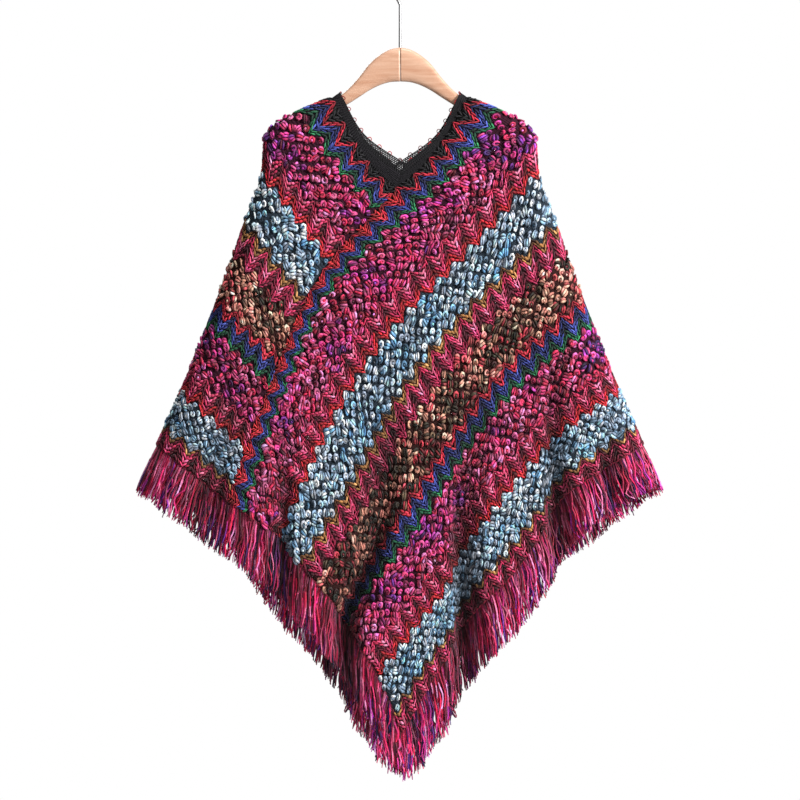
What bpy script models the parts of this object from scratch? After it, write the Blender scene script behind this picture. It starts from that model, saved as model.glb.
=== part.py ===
"""A fringed poncho of two knitted panels, hung on a wooden hanger.

Metres, +Z up. The origin is the seat of the hanger's hook, and the front of the poncho faces -Y. Each
panel is a rectangle that lies over one half of the front, passes over that side and ends on the back,
so the back is the front turned half a turn about +Z, and so is each part of the left panel.
"""

import math

import bmesh
import bpy
import numpy as np
from mathutils import Vector

MM = 0.001

# ------------------------------------------------------------------------------------ cloth sizes
PANEL_WIDTH = 0.520        # across the stripes, from the neck edge to the hem
WALL = 0.004               # the chunky knit
SEAM_GAP = 0.0003          # each piece stays this far inside its seam line
NECK_SAG = 0.018           # how far the neck edge hangs below a straight line from V to shoulder
NECK_SAG_FADE = 0.060      # the stripes lose that sag over this distance from the neck edge
SEAM_END = 0.75            # share of a panel's front length, from its short end, that is sewn: the V

# One row for each edge of a stripe, from the neck edge to the hem, in millimetres. "across" is its
# distance from the neck edge. The rest are points (x, z) on the front: at the panel's short end, at each
# quarter of its length on the front, and on the side that it passes over.
STRIPE_COLUMNS = ("across", "end", "quarter", "half", "three_quarters", "side")
STRIPES = (
    (0, (-254, -785), (-191, -621), (-120, -462), (-7, -332), (99, -199)),
    (38, (-232, -801), (-171, -635), (-98, -474), (28, -351), (145, -218)),
    (88, (-207, -820), (-142, -662), (-61, -512), (58, -391), (191, -248)),
    (142, (-181, -839), (-111, -690), (-23, -550), (91, -430), (200, -308)),
    (204, (-152, -875), (-70, -743), (10, -610), (112, -490), (225, -382)),
    (300, (-105, -941), (-22, -820), (61, -699), (153, -586), (263, -489)),
    (439, (-34, -1036), (47, -927), (118, -811), (207, -708), (318, -627)),
    (520, (0, -1119), (69, -998), (159, -894), (234, -782), (353, -705)),
)
SHOULDER_TOP = (88, -191)  # (x, z) in millimetres of the edging's inner edge on the shoulder

# Half the depth of the hanging cloth at each height, and how far in from the side its edge is rounded.
DEPTH_COLUMNS = ("z", "half_depth", "rounding")
DEPTHS = (
    (-190, 10.0, 22),
    (-250, 11.5, 20),
    (-330, 18.0, 30),
    (-450, 28.0, 40),
    (-650, 40.0, 50),
    (-850, 47.0, 55),
    (-1120, 46.0, 55),
)

# One row for each valley between the hanging folds of the front, in millimetres: points (x, z) at its
# top, its middle and the hem, its depth at the hem, and how far it reaches to its left and its right.
FOLD_COLUMNS = ("name", "top", "middle", "hem", "depth", "left", "right")
FOLDS = (
    ("left_side", (-245, -508), (-241, -624), (-270, -756), 7, 40, 35),
    ("left_end", (-158, -639), (-168, -770), (-165, -887), 16, 32, 20),
    ("middle_left", (-12, -610), (-26, -814), (-77, -963), 28, 45, 26),
    ("middle_right", (124, -610), (88, -741), (86, -957), 26, 20, 45),
    ("right_hem", (212, -537), (217, -683), (220, -807), 20, 18, 36),
    ("right_side", (310, -624), (301, -697), (295, -741), 9, 14, 24),
)
FOLD_GROWTH = 1.3          # a valley deepens as this power of the share of its way down
PLEAT_TOP = -0.40          # above this height the cloth hangs smooth
PLEAT_BOTTOM = -1.15
SIDE_FLARE = 0.45          # how fast the side line widens below the hem's corner

# ------------------------------------------------------------------------------- edging and fringe
EDGING_WALL = 0.0025
EDGING_V = (7.3, -295.8)         # (x, z) in millimetres of its inner corner above the V, on the front
EDGING_RIGHT = (58.4, -250.6)    # the middle of its inner edge on the right of the neck
EDGING_LEFT = (-52.6, -252.0)    # and on the left
EDGING_SHARES = (0.03, 0.5, 1.0)  # the edging's rows, as shares of the way to its inner edge
EDGING_CELLS = 7
FRINGE_GAP = 0.0009        # from the twisted rim of the cloth to the strip that carries the fringe
STRIP_HEIGHT = 0.006
STRIP_WALL = 0.003
FRINGE_LENGTH = 0.080
LOCK_PITCH = 0.0115
LOCK_TIP_WIDTH = 0.42      # a lock's tip, as shares of its root
LOCK_TIP_DEPTH = 0.9
LEAN_MIDDLE = 0.06         # sideways lean of the hanging locks, at the middle and towards the sides
LEAN_ASIDE = 0.15
LEAN_SIDE = 0.30

# --------------------------------------------------------------------------- how finely it is made
FRONT_CELLS = 33
REST_CELLS = 6
SIDE_STOPS = (0, 5, 11, 20, 32)   # millimetres from the side line to each of the close points round it
ROWS_ACROSS = (0, 38, 75, 110, 142, 175, 204, 235, 265, 295, 320, 345, 370, 395, 420, 445, 470, 495, 520)
CURVE_SAMPLES = 240
SECTION_SAMPLES = 241
SECTION_LEVELS = 61
SHARP_ANGLE = 40.0                # degrees
TOWARDS_SIDE = np.sin(np.linspace(0.0, math.pi / 2, CURVE_SAMPLES))     # shares, close near the side
FROM_SIDE = 1 - np.cos(np.linspace(0.0, math.pi / 2, CURVE_SAMPLES))

# -------------------------------------------------------------------------------------- the hanger
ARM_THICKNESS = 0.013
ARM_EDGE = 0.0035
JOINT_GAP = 0.00015
# One row for each station along an arm, in millimetres: its distance from the middle, its top and its
# underside.
ARM_COLUMNS = ("x", "top", "underside")
ARM = (
    (0, -124.3, -173.9),
    (15, -127.5, -175.0),
    (30, -135.8, -179.5),
    (45, -148.8, -187.0),
    (60, -168.0, -196.8),
    (75, -184.5, -206.3),
    (92, -198.3, -216.3),
    (120, -213.0, -231.0),
    (150, -227.5, -245.5),
    (174, -244.0, -258.5),
)
ARM_TIP = (182, -252)      # (x, z) in millimetres
ARM_SAMPLES = 15
WIRE_RADIUS = 0.002
HOOK_RADIUS = 0.022        # inside the hook, so its seat is at the origin
HOOK_START = 235.0         # degrees round the hook, from where the shank runs into it
HOOK_END = -35.0
HOOK_POINTS = 28
BEND_POINTS = 7            # between the shank and the hook
SHANK_TOP = -0.062
SHANK_FOOT = -0.150
BORE_RADIUS = 0.00235
BORE_DEPTH = 0.028
BORE_SIDES = 16

# ------------------------------------------------------------------------------------------ colours
# Base colour, roughness and metallic value of each material.
MATERIALS = {
    "knit": ((0.36, 0.06, 0.11, 1.0), 0.90, 0.0),
    "edging": ((0.030, 0.016, 0.020, 1.0), 0.85, 0.0),
    "fringe": ((0.33, 0.035, 0.10, 1.0), 0.80, 0.0),
    "beech": ((0.74, 0.47, 0.29, 1.0), 0.45, 0.0),
    "steel": ((0.55, 0.55, 0.55, 1.0), 0.30, 1.0),
}


# -------------------------------------------------------------------------------------------- tools
def clear_scene():
    for thing in list(bpy.data.objects):
        bpy.data.objects.remove(thing, do_unlink=True)


def collection(name):
    made = bpy.data.collections.new(name)
    bpy.context.scene.collection.children.link(made)
    return made


def material(name):
    colour, roughness, metallic = MATERIALS[name]
    made = bpy.data.materials.new(name)
    made.use_nodes = True
    shader = made.node_tree.nodes["Principled BSDF"]
    shader.inputs["Base Color"].default_value = colour
    shader.inputs["Roughness"].default_value = roughness
    shader.inputs["Metallic"].default_value = metallic
    made.diffuse_color = colour
    return made


def add_object(name, data, where, finish):
    made = bpy.data.objects.new(name, data)
    where.objects.link(made)
    if not data.materials:
        data.materials.append(finish)
    return made


def finished_mesh(name, source, smooth_shading=True):
    mesh = bpy.data.meshes.new(name)
    source.to_mesh(mesh)
    source.free()
    if smooth_shading:
        mesh.shade_smooth()
        mesh.set_sharp_from_angle(angle=math.radians(SHARP_ANGLE))
    return mesh


def column(table, columns, name):
    """One named column of a table, in metres."""
    place = columns.index(name)
    return np.array([row[place] for row in table], dtype=float) * MM


def smooth(knots, values, at):
    """Values on a smooth curve through (knot, value) pairs, whose slopes come from their neighbours."""
    knots = np.asarray(knots, dtype=float)
    values = np.asarray(values, dtype=float)
    at = np.asarray(at, dtype=float)
    slopes = np.gradient(values, knots, axis=0)
    span = np.clip(np.searchsorted(knots, at) - 1, 0, len(knots) - 2)
    width = knots[span + 1] - knots[span]
    t = (at - knots[span]) / width
    if values.ndim > 1:
        t, width = t[:, None], width[:, None]
    start = values[span] * (1 + 2 * t) * (1 - t) ** 2 + slopes[span] * width * t * (1 - t) ** 2
    end = values[span + 1] * t ** 2 * (3 - 2 * t) - slopes[span + 1] * width * t ** 2 * (1 - t)
    return start + end


def lengths(points):
    """How far along the line each point is."""
    return np.concatenate([[0.0], np.cumsum(np.linalg.norm(np.diff(points, axis=0), axis=1))])


def turned(points):
    """Points turned half a turn about +Z."""
    return points * np.array([-1.0, -1.0, 1.0])


def unit(vectors):
    return vectors / np.linalg.norm(vectors, axis=-1, keepdims=True)


# ------------------------------------------------------------------------------- form of the cloth
def side_line():
    """Heights from the hem's corner up to the shoulder, with the half width there."""
    sides = column(STRIPES, STRIPE_COLUMNS, "side")
    across = column(STRIPES, STRIPE_COLUMNS, "across")
    line = smooth(across, sides, np.linspace(0.0, PANEL_WIDTH, CURVE_SAMPLES))
    line = np.vstack([np.array(SHOULDER_TOP) * MM, line])
    return line[::-1, 1], line[::-1, 0]


SIDE_HEIGHTS, SIDE_WIDTHS = side_line()


def half_width(z):
    """Half the width of the poncho at height z, with its side line carried on below its corner."""
    below = np.maximum(SIDE_HEIGHTS[0] - z, 0.0)
    return np.interp(z, SIDE_HEIGHTS, SIDE_WIDTHS) + SIDE_FLARE * below


def valley_depth(x, z):
    """How far the front of the cloth is pressed in at (x, z) by the valleys between its folds."""
    total = np.zeros(np.broadcast(x, z).shape)
    for row in FOLDS:
        fold = dict(zip(FOLD_COLUMNS, row))
        path = np.array([fold["hem"], fold["middle"], fold["top"]]) * MM
        low, high = path[0, 1], path[-1, 1]
        centre = smooth(path[:, 1], path[:, 0], np.clip(z, low, high))
        fall = np.clip((high - z) / (high - low), 0.0, 1.0)
        aside = x - centre
        reach = np.where(aside < 0, fold["left"], fold["right"]) * MM
        press = np.cos(np.clip(aside / reach, -1.0, 1.0) * math.pi / 2) ** 2
        total = total + fold["depth"] * MM * press * fall ** FOLD_GROWTH
    return total


def pleat_sections():
    """For each level, where points spaced evenly along the folded cloth lie across the poncho."""
    even = np.linspace(-1.0, 1.0, SECTION_SAMPLES)
    sections = []
    for z in np.linspace(PLEAT_TOP, PLEAT_BOTTOM, SECTION_LEVELS):
        x = even * half_width(z)
        run = np.hypot(np.diff(x), np.diff(valley_depth(x, z)))
        share = np.concatenate([[0.0], np.cumsum(run)])
        sections.append(np.interp(even, 2 * share / share[-1] - 1, x))
    return np.array(sections)


SECTIONS = pleat_sections()


def pleated(x, z):
    """Moves points of the smooth front sideways, so that the cloth in its folds isn't stretched."""
    level = np.clip((z - PLEAT_TOP) / (PLEAT_BOTTOM - PLEAT_TOP), 0.0, 1.0) * (SECTION_LEVELS - 1)
    place = (np.clip(x / half_width(z), -1.0, 1.0) + 1) / 2 * (SECTION_SAMPLES - 1)
    low = np.minimum(level.astype(int), SECTION_LEVELS - 2)
    left = np.minimum(place.astype(int), SECTION_SAMPLES - 2)
    down, over = level - low, place - left
    upper = SECTIONS[low, left] * (1 - over) + SECTIONS[low, left + 1] * over
    lower = SECTIONS[low + 1, left] * (1 - over) + SECTIONS[low + 1, left + 1] * over
    return np.where(z > PLEAT_TOP, x, upper * (1 - down) + lower * down)


def draped(flat):
    """Points (x, z) of the smooth front outline, laid on the hanging cloth of the front."""
    z = flat[:, 1]
    x = pleated(flat[:, 0], z)
    heights = column(DEPTHS, DEPTH_COLUMNS, "z")[::-1]
    level = np.clip(z, heights[0], heights[-1])
    half_depth = smooth(heights, column(DEPTHS, DEPTH_COLUMNS, "half_depth")[::-1], level)
    rounding = smooth(heights, column(DEPTHS, DEPTH_COLUMNS, "rounding")[::-1], level)
    inside = np.clip((half_width(z) - np.abs(x)) / rounding, 0.0, 1.0)
    edge = np.sqrt(np.clip(1 - (1 - inside) ** 2, 0.0, 1.0))
    y = -(half_depth - valley_depth(x, z)) * edge
    return np.column_stack([x, y, z])


def stripe_table(across):
    """The points of one stripe, at a distance across the panel."""
    knots = column(STRIPES, STRIPE_COLUMNS, "across")
    places = [column(STRIPES, STRIPE_COLUMNS, name) for name in STRIPE_COLUMNS[1:]]
    return np.array([smooth(knots, place, np.array([across]))[0] for place in places])


def stripe_front(across, shares):
    """Points (x, z) of a stripe on the front, at shares of its length there from its short end."""
    points = smooth(np.linspace(0.0, 1.0, len(STRIPE_COLUMNS) - 1), stripe_table(across), shares)
    sag = NECK_SAG * math.exp(-across / NECK_SAG_FADE)
    open_part = np.clip((shares - SEAM_END) / (1 - SEAM_END), 0.0, 1.0)
    points[:, 1] -= sag * np.sin(math.pi * open_part)
    return points


def seam_point(across):
    """Where a stripe of the other panel meets this panel's neck-side edge, below the V on the front."""
    line = stripe_front(0.0, np.linspace(SEAM_END, 0.0, CURVE_SAMPLES))
    run = lengths(line)
    stop = across / PANEL_WIDTH * run[-1]
    return np.array([np.interp(stop, run, line[:, axis]) for axis in range(2)])


def stripe_rest(across, shares):
    """The rest of a stripe, at shares of the way from the side to its seam, as if it lay on the front."""
    side = stripe_table(across)[-1] * np.array([-1.0, 1.0])
    points = side + (seam_point(across) - side) * shares[:, None]
    sag = NECK_SAG * math.exp(-across / NECK_SAG_FADE)
    points[:, 1] -= sag * np.sin(math.pi * shares)
    return points


def across_side(front, rest, front_cells, rest_cells, cuts):
    """One line of points over the side: up the front, then down the back, with its ends cut short.

    The cells are even, but for the close ones round the side.
    """
    front_stops = np.array(SIDE_STOPS) * MM
    lines = []
    for line, cells, cut in ((front[::-1], front_cells, cuts[0]), (rest, rest_cells, cuts[1])):
        run = lengths(line)
        stops = np.linspace(front_stops[-1], run[-1] - cut, cells + 1)[1:]
        stops = np.concatenate([front_stops, stops])
        lines.append(np.column_stack([np.interp(stops, run, line[:, axis]) for axis in range(3)]))
    return np.vstack([lines[0][::-1], lines[1][1:]])


def panel_points():
    """The panel's middle surface, as rows across its stripes and columns along them."""
    rows = []
    for across in np.array(ROWS_ACROSS) * MM:
        across = max(across, SEAM_GAP)
        front = draped(stripe_front(across, TOWARDS_SIDE))
        rest = turned(draped(stripe_rest(across, FROM_SIDE)))
        rows.append(across_side(front, rest, FRONT_CELLS, REST_CELLS, (0.0, SEAM_GAP)))
    return np.array(rows)


def edging_points():
    """The crochet edging's middle surface, from the V on the front over the shoulder to the back V."""
    knots = np.array([0.0, 0.5, 1.0])
    left_shoulder = (-SHOULDER_TOP[0], SHOULDER_TOP[1])
    front_outer = stripe_front(0.0, SEAM_END + (1 - SEAM_END) * TOWARDS_SIDE)
    front_inner = smooth(knots, np.array([EDGING_V, EDGING_RIGHT, SHOULDER_TOP]) * MM, TOWARDS_SIDE)
    rest_outer = stripe_rest(0.0, FROM_SIDE)
    rest_inner = smooth(knots, np.array([left_shoulder, EDGING_LEFT, EDGING_V]) * MM, FROM_SIDE)
    rows = []
    for share in EDGING_SHARES:
        front = draped(front_outer * (1 - share) + front_inner * share)
        rest = turned(draped(rest_outer * (1 - share) + rest_inner * share))
        rows.append(across_side(front, rest, EDGING_CELLS, EDGING_CELLS, (SEAM_GAP, SEAM_GAP)))
    return np.array(rows)


# ------------------------------------------------------------------------------------ cloth pieces
def sheet_mesh(name, points):
    """An open sheet through a grid of points, whose quads are split along the hang of the cloth."""
    rows, columns = points.shape[:2]
    sheet = bmesh.new()
    bmesh.ops.create_grid(sheet, x_segments=columns - 1, y_segments=rows - 1, size=1.0)
    corner = {}
    for vert in sheet.verts:
        place = round((vert.co.y + 1) / 2 * (rows - 1)), round((vert.co.x + 1) / 2 * (columns - 1))
        corner[place] = vert
    for (row, place), vert in corner.items():
        vert.co = points[row, place]
    for row in range(rows - 1):
        for place in range(columns - 1):
            low, high = corner[row + 1, place], corner[row, place + 1]
            shared = set(low.link_faces) & set(high.link_faces)
            bmesh.utils.face_split(shared.pop(), low, high)
    bmesh.ops.recalc_face_normals(sheet, faces=sheet.faces)
    return finished_mesh(name, sheet)


def pair(mesh, names, where, finish, wall=None):
    """The right piece, and the left one, which is the same turned half a turn."""
    for name, turn in zip(names, (0.0, math.pi)):
        piece = add_object(name, mesh, where, finish)
        piece.rotation_euler.z = turn
        if wall:
            shell = piece.modifiers.new("wall", "SOLIDIFY")
            shell.thickness = wall
            shell.offset = 0.0


def lean(points, on_front):
    """The directions in which the fringe hangs: straight down, but spread outwards near the sides."""
    facing = 1.0 if on_front else -1.0
    place = facing * points[:, 0] / SIDE_WIDTHS[0]
    sideways = LEAN_MIDDLE * (1 - place ** 2) + LEAN_ASIDE * place + LEAN_SIDE * place ** 3
    down = np.column_stack([facing * sideways, np.zeros(len(place)), -np.ones(len(place))])
    return unit(down)


def rim_line(rim, inner, front_count):
    """Points along a rim a lock's width apart, with their outward, through-wall and hanging directions."""
    outward = unit(rim - inner)
    hang = np.vstack([lean(rim[:front_count], True), lean(rim[front_count:], False)])
    packed = np.hstack([rim, outward, hang])
    stations = [packed[0]]
    for start, end in zip(packed[:-1], packed[1:]):
        cells = max(1, round(np.linalg.norm(end[:3] - start[:3]) / LOCK_PITCH))
        stations += [start + (end - start) * (cell + 1) / cells for cell in range(cells)]
    line, outward, hang = np.split(np.array(stations), 3, axis=1)
    return line, outward, unit(np.cross(np.gradient(line, axis=0), outward)), hang


def fringe_mesh(name, *rim):
    """A narrow strip along a rim of the panel, from which one lock hangs for each of its cells."""
    line, outward, normal, hang = rim_line(*rim)
    count = len(line)
    strip = bmesh.new()
    bmesh.ops.create_grid(strip, x_segments=count - 1, y_segments=1, size=1.0)
    station = strip.verts.layers.int.new("station")
    lower = strip.verts.layers.int.new("lower")
    for vert in strip.verts:
        place = round((vert.co.x + 1) / 2 * (count - 1))
        vert[station] = place
        vert[lower] = int(vert.co.y > 0)
        drop = FRINGE_GAP + STRIP_HEIGHT * vert[lower]
        vert.co = line[place] + outward[place] * drop + normal[place] * STRIP_WALL / 2
    grown = bmesh.ops.extrude_face_region(strip, geom=strip.faces[:], use_keep_orig=True)
    for vert in grown["geom"]:
        if isinstance(vert, bmesh.types.BMVert):
            vert.co -= Vector(normal[vert[station]] * STRIP_WALL)
    roots = [face for face in strip.faces if all(vert[lower] for vert in face.verts)]
    locks = bmesh.ops.extrude_discrete_faces(strip, faces=roots)
    for face in locks["faces"]:
        middle = face.calc_center_median()
        first = min(vert[station] for vert in face.verts)
        tip = middle + Vector(unit(hang[first] + hang[first + 1]) * FRINGE_LENGTH)
        across = Vector(unit(normal[first] + normal[first + 1]))
        for vert in face.verts:
            aside = vert.co - middle
            deep = across * aside.dot(across)
            vert.co = tip + (aside - deep) * LOCK_TIP_WIDTH + deep * LOCK_TIP_DEPTH
    bmesh.ops.recalc_face_normals(strip, faces=strip.faces)
    return finished_mesh(name, strip, smooth_shading=False)


def cloth(points, where):
    front_columns = FRONT_CELLS + len(SIDE_STOPS)
    panel = sheet_mesh("panel", points)
    pair(panel, ("panel_right", "panel_left"), where, material("knit"), WALL)
    edging = sheet_mesh("neck_edging", edging_points())
    pair(edging, ("neck_edging_right", "neck_edging_left"), where, material("edging"), EDGING_WALL)
    dyed = material("fringe")
    hem = fringe_mesh("fringe_hem", points[-1], points[-2], front_columns)
    pair(hem, ("fringe_right_hem", "fringe_left_hem"), where, dyed)
    end = fringe_mesh("fringe_end", points[:, 0], points[:, 1], len(points))
    pair(end, ("fringe_right_end", "fringe_left_end"), where, dyed)


# ------------------------------------------------------------------------------------------ hanger
def arm_outline():
    """The outline (x, z) of the right arm, from the joint along its top to its tip and back."""
    stations = column(ARM, ARM_COLUMNS, "x")
    x = np.linspace(0.0, stations[-1], ARM_SAMPLES)
    x[0] = JOINT_GAP
    top = np.column_stack([x, smooth(stations, column(ARM, ARM_COLUMNS, "top"), x)])
    underside = np.column_stack([x, smooth(stations, column(ARM, ARM_COLUMNS, "underside"), x)])
    return np.vstack([top, [np.array(ARM_TIP) * MM], underside[::-1]])


def arm_mesh(name, side):
    arm = bmesh.new()
    ring = [arm.verts.new((side * x, -ARM_THICKNESS / 2, z)) for x, z in arm_outline()]
    grown = bmesh.ops.extrude_face_region(arm, geom=[arm.faces.new(ring)], use_keep_orig=True)
    for vert in grown["geom"]:
        if isinstance(vert, bmesh.types.BMVert):
            vert.co.y = ARM_THICKNESS / 2
    bmesh.ops.recalc_face_normals(arm, faces=arm.faces)
    rounded = arm.edges.layers.float.new("bevel_weight_edge")
    for edge in arm.edges:
        start, end = (vert.co for vert in edge.verts)
        at_joint = max(abs(start.x), abs(end.x)) < 2 * JOINT_GAP
        edge[rounded] = float(start.y == end.y and not at_joint)
    return finished_mesh(name, arm)


def hanger_arms(where, cutters):
    bpy.ops.mesh.primitive_cylinder_add(vertices=BORE_SIDES, radius=BORE_RADIUS, depth=2 * BORE_DEPTH)
    bore = bpy.context.object
    bore.name = "shank_bore"
    bore.location.z = ARM[0][1] * MM
    bore.hide_render = True
    bore.display_type = "WIRE"
    for home in list(bore.users_collection):
        home.objects.unlink(bore)
    cutters.objects.link(bore)
    beech = material("beech")
    for name, side in (("hanger_arm_right", 1), ("hanger_arm_left", -1)):
        arm = add_object(name, arm_mesh(name, side), where, beech)
        edge = arm.modifiers.new("rounded_edges", "BEVEL")
        edge.width = ARM_EDGE
        edge.segments = 2
        edge.limit_method = "WEIGHT"
        cut = arm.modifiers.new("shank_bore", "BOOLEAN")
        cut.operation = "DIFFERENCE"
        cut.object = bore


def hook_line():
    """The middle of the wire, from its foot in the wood to the open end of the hook."""
    middle = HOOK_RADIUS + WIRE_RADIUS
    turn = np.radians(np.linspace(HOOK_START, HOOK_END, HOOK_POINTS))
    round_part = np.column_stack([middle * np.cos(turn), middle * np.sin(turn) - HOOK_RADIUS])
    shank = np.array([(0.0, SHANK_FOOT), (0.0, (SHANK_FOOT + SHANK_TOP) / 2), (0.0, SHANK_TOP)])
    guide = np.vstack([shank, round_part[:2]])
    run = lengths(guide)
    bend = smooth(run, guide, np.linspace(run[2], run[3], BEND_POINTS))[1:-1]
    return np.vstack([shank, bend, round_part])


def hanger_hook(where):
    wire = bpy.data.curves.new("hanger_hook", "CURVE")
    wire.dimensions = "3D"
    wire.bevel_depth = WIRE_RADIUS
    wire.bevel_resolution = 2
    wire.use_fill_caps = True
    line = hook_line()
    spline = wire.splines.new("POLY")
    spline.points.add(len(line) - 1)
    for point, (x, z) in zip(spline.points, line):
        point.co = (x, 0.0, z, 1.0)
    add_object("hanger_hook", wire, where, material("steel"))


# ------------------------------------------------------------------------------------------- model
def main():
    clear_scene()
    poncho = collection("fringed_poncho_on_hanger")
    cutters = collection("cutters")
    cloth(panel_points(), poncho)
    hanger_arms(poncho, cutters)
    hanger_hook(poncho)


main()
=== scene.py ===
"""The fringed poncho on its hanger as it looks: bobble and zigzag knit, crochet, yarn, beech and steel.

Metres, +Z up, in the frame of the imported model, whose front faces -Y. A place on a knitted panel is a
distance across its stripes from the neck edge, and a share of the way along them, from the short end on
the front, over the side, to the seam on the back. The left panel is the right one turned half a turn.
"""

import math

import bpy
import numpy as np
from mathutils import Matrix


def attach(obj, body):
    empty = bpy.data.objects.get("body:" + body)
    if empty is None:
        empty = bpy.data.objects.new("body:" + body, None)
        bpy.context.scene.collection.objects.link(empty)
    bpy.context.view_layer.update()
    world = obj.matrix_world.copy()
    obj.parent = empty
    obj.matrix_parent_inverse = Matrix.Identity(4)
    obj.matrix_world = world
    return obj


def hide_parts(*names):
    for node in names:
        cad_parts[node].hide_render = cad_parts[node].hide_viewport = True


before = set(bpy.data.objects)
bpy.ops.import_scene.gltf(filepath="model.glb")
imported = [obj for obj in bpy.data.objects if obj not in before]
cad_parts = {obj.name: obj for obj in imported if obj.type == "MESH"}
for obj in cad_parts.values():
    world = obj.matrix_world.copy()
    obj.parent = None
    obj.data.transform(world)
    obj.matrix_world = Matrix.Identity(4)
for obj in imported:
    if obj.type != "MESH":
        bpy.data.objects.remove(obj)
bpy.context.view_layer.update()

MM = 0.001

# ---- sizes that the cloth has in the model
PANEL_WIDTH = 0.520
PANEL_LENGTH = 0.860
WALL = 0.004
SEAM_GAP = 0.0003
NECK_SAG = 0.018
NECK_SAG_FADE = 0.060
SEAM_END = 0.75
STRIPE_COLUMNS = ("across", "end", "quarter", "half", "three_quarters", "side")
STRIPES = (
    (0, (-254, -785), (-191, -621), (-120, -462), (-7, -332), (99, -199)),
    (38, (-232, -801), (-171, -635), (-98, -474), (28, -351), (145, -218)),
    (88, (-207, -820), (-142, -662), (-61, -512), (58, -391), (191, -248)),
    (142, (-181, -839), (-111, -690), (-23, -550), (91, -430), (200, -308)),
    (204, (-152, -875), (-70, -743), (10, -610), (112, -490), (225, -382)),
    (300, (-105, -941), (-22, -820), (61, -699), (153, -586), (263, -489)),
    (439, (-34, -1036), (47, -927), (118, -811), (207, -708), (318, -627)),
    (520, (0, -1119), (69, -998), (159, -894), (234, -782), (353, -705)),
)
SHOULDER_TOP = (88, -191)
DEPTH_COLUMNS = ("z", "half_depth", "rounding")
DEPTHS = (
    (-190, 10.0, 22),
    (-250, 11.5, 20),
    (-330, 18.0, 30),
    (-450, 28.0, 40),
    (-650, 40.0, 50),
    (-850, 47.0, 55),
    (-1120, 46.0, 55),
)
FOLD_COLUMNS = ("name", "top", "middle", "hem", "depth", "left", "right")
FOLDS = (
    ("left_side", (-245, -508), (-241, -624), (-270, -756), 7, 40, 35),
    ("left_end", (-158, -639), (-168, -770), (-165, -887), 16, 32, 20),
    ("middle_left", (-12, -610), (-26, -814), (-77, -963), 28, 45, 26),
    ("middle_right", (124, -610), (88, -741), (86, -957), 26, 20, 45),
    ("right_hem", (212, -537), (217, -683), (220, -807), 20, 18, 36),
    ("right_side", (310, -624), (301, -697), (295, -741), 9, 14, 24),
)
FOLD_GROWTH = 1.3
PLEAT_TOP = -0.40
PLEAT_BOTTOM = -1.15
SIDE_FLARE = 0.45
EDGING_V = (7.3, -295.8)
EDGING_RIGHT = (58.4, -250.6)
EDGING_LEFT = (-52.6, -252.0)
HANG_START = 0.0069        # from the rim to where the fringe hangs free
FRINGE_LENGTH = 0.080
FRINGE_REACH = 0.300       # how far aside the fringe is shortest
FRINGE_SHORTER = (0.32, 0.16)   # by what share, at the front's right corner and at the others
TIP_SHORTER = 0.16
TIP_HEIGHT = -1.070        # below which it is shorter at the points too
TIP_FADE = 0.04
LEAN_MIDDLE = 0.06
LEAN_ASIDE = 0.15
LEAN_SIDE = 0.30

# ---- knitting
# The whole knit is a ripple: its rows run up and down in even teeth. A band of stitches has its tallest
# teeth in its middle, where short rows fill them up.
TEETH = 27
RIPPLE = 14.0              # millimetres from the tips of the teeth to their hollows, on the cloth behind
COLUMNS_A_TOOTH = 4        # of bobbles
RIB_PITCH = 4.6            # millimetres from one row to the next of the cloth behind
RIBS_A_TOOTH = 6
STITCHES_A_TOOTH = 6       # half of them on each flank
# How far the cloth is sheared: teeth by which a column lies back, at distances across (mm) and along.
SHEAR_ACROSS = (0, 38, 100, 142, 204, 300, 439, 520)
SHEAR_ALONG = (0, 3, 6, 9, 12, 15, 18, 21, 24, 27)
SHEAR = (
    (0.35, 0.03, -0.06, -0.12, -0.30, -0.20, -0.28, -0.15, -0.25, -0.25),
    (0.35, 0.03, -0.03, 0.15, 0.14, 0.15, 0.27, 0.15, -0.20, -0.18),
    (-0.10, -0.35, -0.30, -0.20, 0.00, 0.08, -0.10, -0.25, -0.70, -0.75),
    (-0.30, -0.60, -0.40, -0.38, -0.31, -0.33, -0.55, -0.72, -0.95, -1.05),
    (-0.25, -0.47, -0.52, -0.33, -0.50, -0.65, -0.85, -0.90, -1.00, -1.10),
    (0.40, 0.15, -0.10, -0.36, -0.54, -0.72, -0.70, -0.68, -0.70, -0.60),
    (0.25, 0.00, 0.00, -0.20, -0.12, -0.25, -0.30, -0.20, -0.50, -0.50),
    (0.25, 0.00, 0.00, -0.20, -0.12, -0.25, -0.30, -0.20, -0.50, -0.50),
)
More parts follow.
